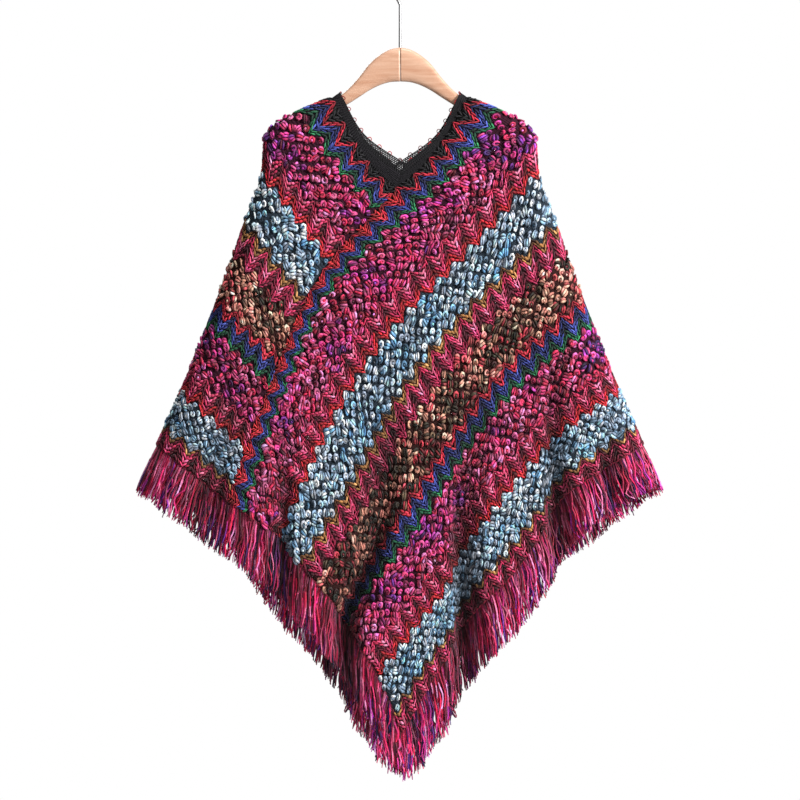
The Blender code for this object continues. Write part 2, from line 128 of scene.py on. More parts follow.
# Bands from the neck edge to the hem: what they are knitted in, where they start and end in millimetres
# across the panel, how tall the teeth are (mm from tip to hollow) at the start, in the middle and at the
# end, and the yarn of each row.
BANDS = (
    ("stitches", -9, 7, (22, 22, 22), ("brick", "brick", "brick")),
    ("stitches", 7, 38, (22, 22, 15), ("red", "red", "blue", "blue", "blue", "green", "green")),
    ("bobbles", 38, 107, (15, 14, 14), ("magenta",) * 5),
    ("stitches", 107, 142, (14, 22, 14), ("pink", "pink", "ember", "ember", "scarlet", "scarlet")),
    ("bobbles", 142, 204, (14, 14, 14), ("sky",) * 4),
    ("stitches", 204, 242, (14, 24, 14), ("gold", "gold", "pink", "pink", "ember", "ember", "ember")),
    ("bobbles", 242, 302, (14, 14, 14), ("salmon",) * 4),
    ("stitches", 302, 339, (14, 22, 15), ("red", "red", "blue", "blue", "blue", "green", "green")),
    ("bobbles", 339, 405, (14, 14, 14), ("magenta",) * 4),
    ("stitches", 405, 439, (14, 22, 14), ("pink", "pink", "ember", "ember", "scarlet", "scarlet")),
    ("bobbles", 439, 492, (14, 14, 14), ("sky",) * 4),
    ("stitches", 492, 530, (14, 20, 14), ("gold", "ember", "pink", "ember", "wine", "ember", "wine")),
)
NECK_PART = 0.60           # the share of a stripe's length from which its first rows are black
# Yarns, as the colours (sRGB) that they pass through: from the tips of the teeth, where the cloth is
# drawn together, to the hollows for stitches, and in the order in which they are dyed for bobbles.
YARNS = {
    "brick": ((84, 8, 18), (140, 16, 30), (180, 32, 42), (196, 48, 52)),
    "red": ((84, 6, 24), (146, 16, 38), (184, 32, 54), (206, 56, 72)),
    "scarlet": ((76, 6, 16), (148, 16, 30), (196, 32, 44), (222, 58, 62)),
    "wine": ((46, 5, 18), (86, 10, 28), (128, 20, 46), (160, 34, 64)),
    "ember": ((44, 5, 20), (92, 12, 38), (158, 26, 66), (228, 72, 120)),
    "pink": ((100, 12, 38), (180, 32, 74), (222, 70, 112), (244, 130, 162)),
    "gold": ((40, 18, 16), (88, 52, 28), (142, 96, 50), (182, 132, 80)),
    "blue": ((14, 16, 44), (30, 38, 92), (50, 60, 132), (74, 88, 168)),
    "green": ((8, 30, 26), (14, 60, 42), (22, 94, 58), (48, 134, 84)),
    "magenta": ((54, 24, 88), (100, 38, 126), (150, 44, 124), (190, 34, 90), (220, 80, 140),
                (194, 36, 76), (152, 22, 50), (234, 116, 166), (122, 16, 58), (66, 14, 56)),
    "sky": ((54, 88, 128), (94, 146, 190), (132, 178, 212), (158, 186, 214), (180, 192, 214),
            (138, 178, 210), (194, 196, 206), (100, 148, 184), (70, 92, 122)),
    "salmon": ((136, 24, 42), (190, 66, 74), (232, 142, 128), (208, 142, 120), (78, 60, 44),
               (26, 30, 22), (172, 50, 62), (62, 18, 28)),
    "fringe": ((46, 18, 76), (90, 32, 116), (164, 28, 100), (200, 20, 74), (222, 46, 100),
               (236, 122, 164), (160, 10, 52), (100, 8, 46), (210, 26, 66), (144, 36, 130)),
    "black": ((4, 4, 6), (9, 8, 11), (14, 12, 16), (22, 19, 24)),
}
BOBBLE_LIFT = 0.3          # millimetres from the outer face of the cloth
BOBBLE_RADIUS = 3.6        # of the loop of yarn that a ring is
BOBBLE_PUFF = 5.6          # half the length of a puff
BOBBLE_YARN = 1.9
BOBBLE_BOW = 3.9           # how far apart the loops of a puff are at its middle
BOBBLE_STRAY = 0.9         # how far one lies from its even place
TOOTH = PANEL_LENGTH / TEETH / MM
BOBBLE_TILT = 0.32         # radians, one in which most stay
BOBBLE_STEP = 0.0096       # from one bobble to the next where they have their full size
RING_SHARE = 0.55          # of the bobbles, where the others are puffs
BOBBLE_FLATNESS = 0.78
SHADES = (0.4, 0.8, 1.15, 1.45)
SHADE_SHARES = (0.22, 0.26, 0.32, 0.20)
STITCH_SHADES = (0.45, 0.8, 1.1, 1.5)
STRAND_SHADES = (0.25, 0.8, 1.4, 2.1)
BRIGHTEST = 0.68           # that a yarn's colour may be
MARLS = (0.35, 0.75, 1.2, 1.8)   # along a bobble's yarn, where one of its plies or the other shows
STITCH_WIDTH = 0.84        # of the room between one row and the next
STITCH_HEIGHT = 3.0
STITCH_OVERLAP = 1.38
STITCH_SLANT = 9.0         # degrees from the row, one way and the other in turn

# Painted shade: the yarn's colour is darkened in the valleys of the folds, by the depth that the cloth has
# there in the model.
SHADE_HALVINGS = 2.6       # of its light, at the deepest
SHADE_DEEPEST = 0.028
SHADE_CURVE = 0.5

# ---- how finely made
GRID_ROWS = 131
GRID_COLUMNS = 481
GROUND_ROWS = 53
GROUND_COLUMNS = 110
CURVE_SAMPLES = 400
SECTION_SAMPLES = 401
SECTION_LEVELS = 61
EDGING_ROWS = 25
EDGING_COLUMNS = 201
BAND_ROWS = 6
BAND_COLUMNS = 120
LACE_STATIONS = 180
PICOT_STATIONS = 11
CORD_STATIONS = 300
CORD_SIDES = 6
RIM_STATIONS = 400
TUBE_SIDES = 4
HOOK_STATIONS = 140
RIM_OF_FLOOR = 96
TOWARDS_SIDE = np.sin(np.linspace(0.0, math.pi / 2, CURVE_SAMPLES))
FROM_SIDE = 1 - np.cos(np.linspace(0.0, math.pi / 2, CURVE_SAMPLES))

# ---- edging and fringe
LACE_CELLS = 105
LACE_ROWS = 7
LACE_OPEN = 0.42           # the share of its width that is an open net
LACE_CLOSE_ROWS = 9
BAND_END = 0.985           # the share of its width at which the close part ends
LACE_YARN = 0.0010
LACE_CORD = 0.0011
LACE_REACH = 0.035         # how far along the edging a yarn of the net goes, as a share of its length
LACE_WALL = 0.0016
PICOTS = 16
PICOT_RADIUS = 0.0029
PICOT_YARN = 0.0008
STRAND_PITCH = 0.0025
STRAND_RADIUS = 0.00145
STRAND_STATIONS = 10
STRAND_SIDES = 3
STRAND_LAYERS = 3
LAYER_STEP = 0.0017
LOCK = 4                   # strands of a layer that hang together
HEM_CORD = 0.0019

# ---- hanger
ARM_THICKNESS = 0.013
JOINT_GAP = 0.00015
ARM_COLUMNS = ("x", "top", "underside")
ARM = (
    (0, -124.3, -173.9),
    (15, -127.5, -175.0),
    (30, -135.8, -179.5),
    (45, -148.8, -187.0),
    (60, -168.0, -196.8),
    (75, -184.5, -206.3),
    (92, -198.3, -216.3),
    (120, -213.0, -231.0),
    (150, -227.5, -245.5),
    (174, -244.0, -258.5),
)
ARM_TIP = (182, -252)
ARM_STATIONS = 72
ARM_SIDES = 32
ARM_SQUARENESS = 3.4
WIRE_RADIUS = 0.002
HOOK_RADIUS = 0.022
HOOK_START = 235.0
HOOK_END = -35.0
SHANK_TOP = -0.062
SHANK_FOOT = -0.148
WIRE_SIDES = 16

# ---- camera, light
VIEW_CENTRE = (0.0, 0.0, -0.639)
VIEW_WIDTH = 1.168
VIEW_DISTANCE = 5.5
SENSOR = 36.0
FLOOR_HEIGHT = -1.46
FLOOR_RADIUS = 1.0
LIGHTS = (                 # name, place, size and power in watts
    ("key", (4.4, -2.9, 1.3), 0.8, 570.0),
    ("fill", (-2.2, -4.0, 0.4), 2.4, 26.0),
    ("top", (0.4, -0.9, 2.4), 1.4, 70.0),
    ("back", (-1.0, 3.2, 1.2), 2.2, 70.0),
)


# ---- tools
def column(table, columns, name):
    """One named column of a table, in metres."""
    place = columns.index(name)
    return np.array([row[place] for row in table], dtype=float) * MM


def smooth(knots, values, at):
    """Values on a smooth curve through (knot, value) pairs, whose slopes come from their neighbours."""
    knots = np.asarray(knots, dtype=float)
    values = np.asarray(values, dtype=float)
    at = np.asarray(at, dtype=float)
    slopes = np.gradient(values, knots, axis=0)
    span = np.clip(np.searchsorted(knots, at) - 1, 0, len(knots) - 2)
    width = knots[span + 1] - knots[span]
    t = (at - knots[span]) / width
    if values.ndim > 1:
        t, width = t[:, None], width[:, None]
    start = values[span] * (1 + 2 * t) * (1 - t) ** 2 + slopes[span] * width * t * (1 - t) ** 2
    end = values[span + 1] * t ** 2 * (3 - 2 * t) - slopes[span + 1] * width * t ** 2 * (1 - t)
    return start + end


def lengths(points):
    """How far along the line each point is."""
    return np.concatenate([[0.0], np.cumsum(np.linalg.norm(np.diff(points, axis=0), axis=1))])


def spaced(line, count):
    """The line through count points an even distance apart."""
    run = lengths(line)
    return between(line, run, np.linspace(0.0, run[-1], count))


def between(line, run, stops):
    """Points of a line, at stops along its run."""
    return np.column_stack([np.interp(stops, run, line[:, axis]) for axis in range(line.shape[1])])


def grid_value(grid, row, place, eased=False):
    """The value of a grid at rows and places between its own."""
    low = np.minimum(row.astype(int), grid.shape[0] - 2)
    left = np.minimum(place.astype(int), grid.shape[1] - 2)
    down, over = row - low, place - left
    if eased:
        down, over = down * down * (3 - 2 * down), over * over * (3 - 2 * over)
    if grid.ndim > 2:
        down, over = down[..., None], over[..., None]
    upper = grid[low, left] * (1 - over) + grid[low, left + 1] * over
    lower = grid[low + 1, left] * (1 - over) + grid[low + 1, left + 1] * over
    return upper * (1 - down) + lower * down


def turned(points):
    """Points turned half a turn about +Z."""
    return points * np.array([-1.0, -1.0, 1.0])


def unit(vectors):
    return vectors / np.maximum(np.linalg.norm(vectors, axis=-1, keepdims=True), 1e-12)


def linear(colours):
    """Colours given as sRGB out of 255, in linear light."""
    shares = np.asarray(colours, dtype=float) / 255
    return np.where(shares <= 0.04045, shares / 12.92, ((shares + 0.055) / 1.055) ** 2.4)


# ---- form of the cloth
def side_line():
    """Heights from the hem's corner up to the shoulder, with the half width there."""
    sides = column(STRIPES, STRIPE_COLUMNS, "side")
    across = column(STRIPES, STRIPE_COLUMNS, "across")
    line = smooth(across, sides, np.linspace(0.0, PANEL_WIDTH, CURVE_SAMPLES))
    line = np.vstack([np.array(SHOULDER_TOP) * MM, line])
    return line[::-1, 1], line[::-1, 0]


SIDE_HEIGHTS, SIDE_WIDTHS = side_line()


def half_width(z):
    """Half the width of the poncho at height z, with its side line carried on below its corner."""
    below = np.maximum(SIDE_HEIGHTS[0] - z, 0.0)
    return np.interp(z, SIDE_HEIGHTS, SIDE_WIDTHS) + SIDE_FLARE * below


def valley_depth(x, z):
    """How far the front of the cloth is pressed in at (x, z) by the valleys between its folds."""
    total = np.zeros(np.broadcast(x, z).shape)
    for row in FOLDS:
        fold = dict(zip(FOLD_COLUMNS, row))
        path = np.array([fold["hem"], fold["middle"], fold["top"]]) * MM
        low, high = path[0, 1], path[-1, 1]
        centre = smooth(path[:, 1], path[:, 0], np.clip(z, low, high))
        fall = np.clip((high - z) / (high - low), 0.0, 1.0)
        aside = x - centre
        reach = np.where(aside < 0, fold["left"], fold["right"]) * MM
        press = np.cos(np.clip(aside / reach, -1.0, 1.0) * math.pi / 2) ** 2
        total = total + fold["depth"] * MM * press * fall ** FOLD_GROWTH
    return total


def pleat_sections():
    """For each level, where points spaced evenly along the folded cloth lie across the poncho."""
    even = np.linspace(-1.0, 1.0, SECTION_SAMPLES)
    sections = []
    for z in np.linspace(PLEAT_TOP, PLEAT_BOTTOM, SECTION_LEVELS):
        x = even * half_width(z)
        run = np.hypot(np.diff(x), np.diff(valley_depth(x, z)))
        share = np.concatenate([[0.0], np.cumsum(run)])
        sections.append(np.interp(even, 2 * share / share[-1] - 1, x))
    return np.array(sections)


SECTIONS = pleat_sections()


def pleated(x, z):
    """Moves points of the smooth front sideways, so that the cloth in its folds isn't stretched."""
    level = np.clip((z - PLEAT_TOP) / (PLEAT_BOTTOM - PLEAT_TOP), 0.0, 1.0) * (SECTION_LEVELS - 1)
    place = (np.clip(x / half_width(z), -1.0, 1.0) + 1) / 2 * (SECTION_SAMPLES - 1)
    return np.where(z > PLEAT_TOP, x, grid_value(SECTIONS, level, place))


def draped(flat):
    """Points (x, z) of the smooth front outline, laid on the hanging cloth of the front."""
    z = flat[:, 1]
    x = pleated(flat[:, 0], z)
    heights = column(DEPTHS, DEPTH_COLUMNS, "z")[::-1]
    level = np.clip(z, heights[0], heights[-1])
    half_depth = smooth(heights, column(DEPTHS, DEPTH_COLUMNS, "half_depth")[::-1], level)
    rounding = smooth(heights, column(DEPTHS, DEPTH_COLUMNS, "rounding")[::-1], level)
    inside = np.clip((half_width(z) - np.abs(x)) / rounding, 0.0, 1.0)
    edge = np.sqrt(np.clip(1 - (1 - inside) ** 2, 0.0, 1.0))
    y = -(half_depth - valley_depth(x, z)) * edge
    return np.column_stack([x, y, z])


def stripe_table(across):
    """The points of one stripe, at a distance across the panel."""
    knots = column(STRIPES, STRIPE_COLUMNS, "across")
    places = [column(STRIPES, STRIPE_COLUMNS, name) for name in STRIPE_COLUMNS[1:]]
    return np.array([smooth(knots, place, np.array([across]))[0] for place in places])


def stripe_front(across, shares):
    """Points (x, z) of a stripe on the front, at shares of its length there from its short end."""
    points = smooth(np.linspace(0.0, 1.0, len(STRIPE_COLUMNS) - 1), stripe_table(across), shares)
    sag = NECK_SAG * math.exp(-across / NECK_SAG_FADE)
    open_part = np.clip((shares - SEAM_END) / (1 - SEAM_END), 0.0, 1.0)
    points[:, 1] -= sag * np.sin(math.pi * open_part)
    return points


def seam_point(across):
    """Where a stripe of the other panel meets this panel's neck-side edge, below the V on the front."""
    line = stripe_front(0.0, np.linspace(SEAM_END, 0.0, CURVE_SAMPLES))
    run = lengths(line)
    return between(line, run, np.array([across / PANEL_WIDTH * run[-1]]))[0]


def stripe_rest(across, shares):
    """The rest of a stripe, at shares of the way from the side to its seam, as if it lay on the front."""
    side = stripe_table(across)[-1] * np.array([-1.0, 1.0])
    points = side + (seam_point(across) - side) * shares[:, None]
    sag = NECK_SAG * math.exp(-across / NECK_SAG_FADE)
    points[:, 1] -= sag * np.sin(math.pi * shares)
    return points


def lean(points):
    """The directions in which the fringe hangs: straight down, but spread outwards near the sides."""
    facing = np.where(points[:, 1] < 0, 1.0, -1.0)
    place = facing * points[:, 0] / SIDE_WIDTHS[0]
    sideways = LEAN_MIDDLE * (1 - place ** 2) + LEAN_ASIDE * place + LEAN_SIDE * place ** 3
    return unit(np.column_stack([facing * sideways, np.zeros(len(place)), -np.ones(len(place))]))


class Fabric:
    """A grid of points on the middle of a cloth, read at any shares of the way across and along it."""

    def __init__(self, points):
        across = unit(np.gradient(points, axis=0))
        along = unit(np.gradient(points, axis=1))
        out = unit(np.cross(across, along))
        self.layers = np.concatenate([points, along, across, out], axis=2)

    def at(self, across, along):
        """Points there, with the directions along, across and out of the cloth."""
        rows, columns = self.layers.shape[:2]
        row = np.clip(across, 0.0, 1.0) * (rows - 1)
        place = np.clip(along, 0.0, 1.0) * (columns - 1)
        point, along, across, out = np.split(grid_value(self.layers, row, place), 4, axis=-1)
        return point, unit(along), unit(across), unit(out)


def panel_fabric():
    rows = []
    for across in np.linspace(SEAM_GAP, PANEL_WIDTH, GRID_ROWS):
        front = draped(stripe_front(across, TOWARDS_SIDE))
        rest = turned(draped(stripe_rest(across, FROM_SIDE)))
        rows.append(spaced(np.vstack([front, rest[1:]]), GRID_COLUMNS))
    return Fabric(np.array(rows))


def edging_fabric():
    knots = np.array([0.0, 0.5, 1.0])
    left_shoulder = (-SHOULDER_TOP[0], SHOULDER_TOP[1])
    front_outer = stripe_front(0.0, SEAM_END + (1 - SEAM_END) * TOWARDS_SIDE)
    front_inner = smooth(knots, np.array([EDGING_V, EDGING_RIGHT, SHOULDER_TOP]) * MM, TOWARDS_SIDE)
    rest_outer = stripe_rest(0.0, FROM_SIDE)
    rest_inner = smooth(knots, np.array([left_shoulder, EDGING_LEFT, EDGING_V]) * MM, FROM_SIDE)
    rows = []
    for share in np.linspace(1.0, 0.0, EDGING_ROWS):
        front = draped(front_outer * (1 - share) + front_inner * share)
        rest = turned(draped(rest_outer * (1 - share) + rest_inner * share))
        rows.append(spaced(np.vstack([front, rest[1:]]), EDGING_COLUMNS))
    return Fabric(np.array(rows))


# ---- meshes
def add_mesh(name, points, faces, finishes, tint=None, coordinates=None, slots=None):
    """An object from arrays: points, and faces as arrays of corner numbers with as many corners each."""
    mesh = bpy.data.meshes.new(name)
    corners = np.concatenate([part.ravel() for part in faces]).astype(np.int32)
    sizes = np.concatenate([np.full(len(part), part.shape[1]) for part in faces])
    mesh.vertices.add(len(points))
    mesh.vertices.foreach_set("co", points.astype(np.float32).ravel())
    mesh.loops.add(len(corners))
    mesh.loops.foreach_set("vertex_index", corners)
    mesh.polygons.add(len(sizes))
    starts = np.concatenate([[0], np.cumsum(sizes)[:-1]])
    mesh.polygons.foreach_set("loop_start", starts.astype(np.int32))
    if slots is not None:
        mesh.polygons.foreach_set("material_index", slots.astype(np.int32))
    mesh.update(calc_edges=True)
    mesh.validate()
    mesh.shade_smooth()
    if tint is not None:
        tint = np.minimum(tint, BRIGHTEST)
        yarn = mesh.attributes.new("yarn", "FLOAT_COLOR", "POINT")
        yarn.data.foreach_set("color", np.column_stack([tint, np.ones(len(tint))]).astype(np.float32).ravel())
    if coordinates is not None:
        layer = mesh.uv_layers.new(name="knitting")
        layer.uv.foreach_set("vector", coordinates[corners].astype(np.float32).ravel())
    for finish in finishes:
        mesh.materials.append(finish)
    made = bpy.data.objects.new(name, mesh)
    bpy.context.scene.collection.objects.link(made)
    return made


def tubes(paths, radii, ups, sides=TUBE_SIDES):
    """Closed tubes along many lines with as many stations each: their points and faces."""
    count, stations = paths.shape[:2]
    tangent = unit(np.gradient(paths, axis=1))
    aside = unit(np.cross(tangent, ups))
    lift = np.cross(aside, tangent)
    turn = 2 * math.pi * (np.arange(sides) + 0.5) / sides
    ring = aside[:, :, None] * np.cos(turn)[:, None] + lift[:, :, None] * np.sin(turn)[:, None]
    points = paths[:, :, None] + ring * np.broadcast_to(radii, (count, stations))[:, :, None, None]
    number = np.arange(count * stations * sides).reshape(count, stations, sides)
    following = np.roll(number, -1, axis=2)
    quads = np.stack([number[:, :-1], number[:, 1:], following[:, 1:], following[:, :-1]], axis=-1)
    ends = [number[:, 0], number[:, -1, ::-1]]
    return points.reshape(-1, 3), [quads.reshape(-1, 4), np.concatenate(ends)]


def joined(parts):
    """Several (points, faces) sets as one."""
    points = np.concatenate([part[0] for part in parts])
    starts = np.cumsum([0] + [len(part[0]) for part in parts])
    faces = [face + start for part, start in zip(parts, starts) for face in part[1]]
    return points, faces


def scattered(shape, faces, places, axes, sizes):
    """Copies of a small shape at places, turned to their axes (rows) and scaled along them."""
    points = places[:, None] + np.einsum("vk,nk,nkj->nvj", shape, sizes, axes)
    starts = np.arange(len(places))[:, None, None] * len(shape)
    return points.reshape(-1, 3), [(face[None] + starts).reshape(-1, face.shape[1]) for face in faces]


def rotated(first, second, angle):
    """Two directions at right angles, turned in their plane by an angle."""
    cosine, sine = np.cos(angle)[..., None], np.sin(angle)[..., None]
    return first * cosine + second * sine, second * cosine - first * sine


def drift(rng, rows, columns, cell):
    """Smooth noise over a grid, from 0 to 1 in even shares, with patches about a cell in size."""
    coarse = rng.random((int(rows / cell[0]) + 3, int(columns / cell[1]) + 3))
    row = np.arange(rows)[:, None] / cell[0] + rng.random()
    place = np.arange(columns)[None, :] / cell[1] + rng.random()
    noise = grid_value(coarse, row, place, eased=True)
    return noise.ravel().argsort().argsort().reshape(noise.shape) / noise.size


def dyed(yarn, place):
    """Colours of a space-dyed yarn at shares of the way through its colours."""
    colours = linear(YARNS[yarn])
    spot = np.clip(place, 0.0, 1.0) * (len(colours) - 1)
    low = np.minimum(spot.astype(int), len(colours) - 2)
    over = (spot - low)[..., None]
    return colours[low] * (1 - over) + colours[low + 1] * over


def painted_fold_shade(points):
    """Painted shade: the share of its light that the yarn's colour keeps at each point, from how deep the
    fold is there.
    """
    facing = np.where(points[..., 1] < 0, 1.0, -1.0)
    depth = valley_depth(points[..., 0] * facing, points[..., 2])
    return 2.0 ** (-SHADE_HALVINGS * np.clip(depth / SHADE_DEEPEST, 0.0, 1.0) ** SHADE_CURVE)


# ---- materials
SOCKETS = {"rough": "Roughness", "specular": "Specular IOR Level", "sheen": "Sheen Weight",
           "sheen_rough": "Sheen Roughness", "coat": "Coat Weight", "coat_rough": "Coat Roughness"}


def new_material(name):
    made = bpy.data.materials.new(name)
    made.use_nodes = True
    return made, made.node_tree, made.node_tree.nodes["Principled BSDF"]


def add_node(tree, kind, inputs=None, **settings):
    """A node with its settings, its inputs linked to sockets or set to values."""
    made = tree.nodes.new(kind)
    for name, value in settings.items():
        setattr(made, name, value)
    for name, value in (inputs or {}).items():
        if isinstance(value, bpy.types.NodeSocket):
            tree.links.new(value, made.inputs[name])
        else:
            made.inputs[name].default_value = value
    return made


def object_place(tree):
    return add_node(tree, "ShaderNodeTexCoord").outputs["Object"]


def dressed(tree, shader, colour, height, strength, distance, **values):
    """Links a colour and the bump of a height to a shader, and sets the values of its own sockets."""
    bump = add_node(tree, "ShaderNodeBump", {"Height": height, "Strength": strength, "Distance": distance})
    tree.links.new(colour, shader.inputs["Base Color"])
    tree.links.new(bump.outputs[0], shader.inputs["Normal"])
    for name, value in values.items():
        shader.inputs[SOCKETS[name]].default_value = value


def ramp_between(ramp, first, last):
    for element, colour in zip(ramp.elements, (first, last)):
        element.color = (*linear(colour), 1.0)


def maths(tree, operation, *values, clamp=False):
    inputs = dict(enumerate(values))
    return add_node(tree, "ShaderNodeMath", inputs, operation=operation, use_clamp=clamp).outputs[0]


def yarn_material(name, fibre, marl, rough, sheen):
    """Dyed yarn: the mesh's own colours, flecked along the ply, with a bump of fine fibres."""
    made, tree, shader = new_material(name)
    colour = add_node(tree, "ShaderNodeAttribute", attribute_name="yarn").outputs["Color"]
    place = object_place(tree)
    fleck = add_node(tree, "ShaderNodeTexNoise", {"Vector": place, "Scale": marl, "Detail": 3.0})
    shade = add_node(tree, "ShaderNodeMapRange", {"Value": fleck.outputs["Fac"], "From Min": 0.3,
                                                  "From Max": 0.7, "To Min": 0.62, "To Max": 1.3})
    scaled = add_node(tree, "ShaderNodeVectorMath", {0: colour, "Scale": shade.outputs[0]},
                      operation="SCALE").outputs[0]
    fibres = add_node(tree, "ShaderNodeTexNoise", {"Vector": place, "Scale": fibre, "Detail": 4.0})
    dressed(tree, shader, scaled, fibres.outputs["Fac"], 0.5, 0.0006, rough=rough, specular=0.3,
            sheen=sheen, sheen_rough=0.45)
    return made


def ground_material(name, darkness, bump_strength):
    """The knit behind the raised yarn: its stripes follow the ripple, darkened by a share that holds dark
    yarn and painted shade, with a relief of small stitches.
    """
    made, tree, shader = new_material(name)
    place = add_node(tree, "ShaderNodeUVMap", uv_map="knitting").outputs[0]
    split = add_node(tree, "ShaderNodeSeparateXYZ", {0: place})
    tooth = maths(tree, "FRACT", split.outputs["X"])
    flank = maths(tree, "ABSOLUTE", maths(tree, "MULTIPLY_ADD", tooth, 2.0, -1.0))
    hill = maths(tree, "SUBTRACT", 1.0, flank)
    lifted = maths(tree, "MULTIPLY", maths(tree, "SUBTRACT", hill, 0.5), RIPPLE * MM)
    row = maths(tree, "SUBTRACT", split.outputs["Y"], lifted)
    share = maths(tree, "DIVIDE", row, PANEL_WIDTH, clamp=True)
    ramp = add_node(tree, "ShaderNodeValToRGB", {"Fac": share})
    stripe_stops(ramp.color_ramp, darkness)
    ribs = maths(tree, "SINE", maths(tree, "MULTIPLY", row, 2 * math.pi / (RIB_PITCH * MM)))
    loops = maths(tree, "SINE", maths(tree, "MULTIPLY", split.outputs["X"], 2 * math.pi * RIBS_A_TOOTH))
    relief = maths(tree, "MULTIPLY", ribs, loops)
    dressed(tree, shader, ramp.outputs["Color"], relief, bump_strength, 0.0012, rough=0.9, specular=0.2)
    return made


def crochet_material(name):
    """Close crochet in black yarn: rows of small knots in the bump, and painted shade in the colour, lighter
    on the knots and darker between them.
    """
    made, tree, shader = new_material(name)
    place = object_place(tree)
    knots = add_node(tree, "ShaderNodeTexVoronoi", {"Vector": place, "Scale": 420.0})
    # painted shade: the colour is lighter on the knots and darker between them
    tone = add_node(tree, "ShaderNodeValToRGB", {"Fac": knots.outputs["Distance"]})
    ramp_between(tone.color_ramp, (24, 20, 26), (4, 3, 6))
    dressed(tree, shader, tone.outputs["Color"], knots.outputs["Distance"], 0.9, -0.0012, rough=0.85,
            specular=0.2)
    return made


def stripe_stops(ramp, darkness):
    """Gives a colour ramp the average colour of each band, darkened by a share that holds dark yarn and
    painted shade, with sharp edges.
    """
    ramp.interpolation = "CONSTANT"
    for band, (_, start, _, _, yarns) in enumerate(BANDS):
        position = max(start, 0) * MM / PANEL_WIDTH
        stop = ramp.elements[band] if band < 2 else ramp.elements.new(position)
        stop.position = position
        yarns = yarns if start >= 0 else ("black",)
        mean = np.mean([linear(YARNS[yarn]).mean(axis=0) for yarn in yarns], axis=0) * darkness
        stop.color = (*mean, 1.0)


def beech_material():
    """Pale beech: grain along the arm, short darker flecks, under a satin lacquer."""
    made, tree, shader = new_material("beech")
    place = object_place(tree)
    drawn = add_node(tree, "ShaderNodeMapping", {"Vector": place, "Scale": (6.0, 90.0, 60.0)})
    grain = add_node(tree, "ShaderNodeTexNoise", {"Vector": drawn.outputs[0], "Scale": 3.0,
                                                  "Detail": 5.0, "Distortion": 0.6})
    tone = add_node(tree, "ShaderNodeValToRGB", {"Fac": grain.outputs["Fac"]})
    tone.color_ramp.elements[0].position = 0.3
    tone.color_ramp.elements[1].position = 0.7
    ramp_between(tone.color_ramp, (182, 134, 106), (204, 164, 138))
    pores = add_node(tree, "ShaderNodeMapping", {"Vector": place, "Scale": (160.0, 1400.0, 1400.0)})
    fleck = add_node(tree, "ShaderNodeTexVoronoi", {"Vector": pores.outputs[0], "Scale": 1.0})
    dark = add_node(tree, "ShaderNodeMapRange", {"Value": fleck.outputs["Distance"], "From Min": 0.05,
                                                 "From Max": 0.22, "To Min": 0.80, "To Max": 1.0})
    colour = add_node(tree, "ShaderNodeVectorMath", {0: tone.outputs["Color"], "Scale": dark.outputs[0]},
                      operation="SCALE").outputs[0]
    dressed(tree, shader, colour, grain.outputs["Fac"], 0.12, 0.0004, rough=0.42, coat=0.25,
            coat_rough=0.3)
    return made


def steel_material():
    """Drawn steel wire, slightly brushed along its length."""
    made, tree, shader = new_material("steel")
    place = object_place(tree)
    drawn = add_node(tree, "ShaderNodeMapping", {"Vector": place, "Scale": (2500.0, 2500.0, 120.0)})
    brushed = add_node(tree, "ShaderNodeTexNoise", {"Vector": drawn.outputs[0], "Scale": 1.0})
    rough = add_node(tree, "ShaderNodeMapRange", {"Value": brushed.outputs["Fac"], "To Min": 0.22,
                                                  "To Max": 0.42})
    tone = add_node(tree, "ShaderNodeMapRange", {"Value": brushed.outputs["Fac"], "To Min": 0.32,
                                                 "To Max": 0.46})
    tree.links.new(rough.outputs[0], shader.inputs["Roughness"])
    tree.links.new(tone.outputs[0], shader.inputs["Base Color"])
    shader.inputs["Metallic"].default_value = 1.0
    return made


# ---- the knitting
def ripple(tooth):
    """How far a row runs down towards the hem there, from 0 at the tips to 1 in the hollows."""
    return 1 - np.abs(2 * (tooth % 1.0) - 1)


def shear(across, tooth):
    """How many teeth a column of the knit lies back there, from the table's curves along the stripes."""
    row = np.interp(across, np.array(SHEAR_ACROSS) * MM, np.arange(len(SHEAR_ACROSS)))
    low = np.minimum(row.astype(int), len(SHEAR_ACROSS) - 2)
    place = np.clip(tooth, SHEAR_ALONG[0], SHEAR_ALONG[-1])
    rows = np.array([smooth(SHEAR_ALONG, line, place.ravel()).reshape(place.shape) for line in SHEAR])
    upper = np.take_along_axis(rows, low[None], axis=0)[0]
    lower = np.take_along_axis(rows, low[None] + 1, axis=0)[0]
    return upper + (lower - upper) * (row - low)


def swing(row, band):
    """How tall the teeth are in a row, from its distance across in millimetres."""
    _, start, end, (first, middle, last), _ = band
    share = np.clip((row - start) / (end - start), 0.0, 1.0)
    return first + (last - first) * share + (middle - (first + last) / 2) * np.sin(math.pi * share) ** 0.7


def knitted_place(fabric, row, tooth, band):
    """A place on the cloth, from a row's distance across in millimetres and the tooth that it is in."""
    across = (row + swing(row, band) * (ripple(tooth) - 0.5)) * MM
    along = tooth - shear(across, tooth)
    along = tooth - shear(across, along)
    point, forward, down, out = fabric.at(across / PANEL_WIDTH, along / TEETH)
    inside = (along > 0.0) & (along < TEETH) & (across > 0.5 * MM) & (across < PANEL_WIDTH - 0.5 * MM)
    return inside, along, point, forward, down, out


